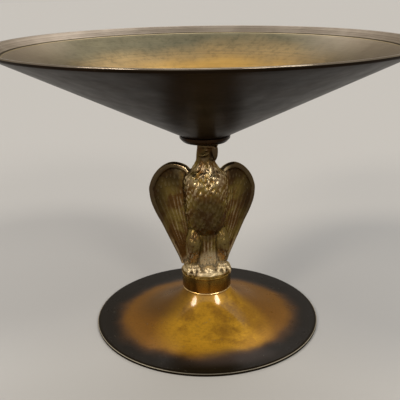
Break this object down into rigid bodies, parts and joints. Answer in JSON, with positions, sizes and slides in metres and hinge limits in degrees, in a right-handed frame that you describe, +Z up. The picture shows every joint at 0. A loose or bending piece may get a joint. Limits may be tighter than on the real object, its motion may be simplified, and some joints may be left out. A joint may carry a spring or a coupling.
{
  "type": "pedestal bowl",
  "caption": "Wide shallow conical bronze bowl on a short stem cast as an upright eagle with folded wings, standing on a small drum and a flared round foot.",
  "frame": {"origin": "middle of the foot's resting edge, on the floor", "axes": "+Z up through the stem and the bowl, -Y the way the eagle's breast faces"},
  "size_m": [0.216, 0.216, 0.1561],
  "materials": {
    "dark_patina": "satin dark brown patina over spun bronze",
    "gold_patina": "satin golden patina with a blue-black border",
    "cast_bronze": "olive-brown patina over cast bronze, rubbed bright on the high points",
    "turned_bronze": "golden-brown turned bronze",
    "fastener_brass": "plain dull brass"
  },
  "bodies": {
    "root": {"bowl": "dark_patina", "bowl_washer": "fastener_brass", "bowl_screw": "fastener_brass", "bowl_collar": "dark_patina", "eagle_figure": "cast_bronze", "perch_drum": "turned_bronze", "neck_bead": "turned_bronze", "foot": "gold_patina", "foot_washer": "fastener_brass", "foot_nut": "fastener_brass", "foot_stud": "fastener_brass"}
  },
  "joints": []
}
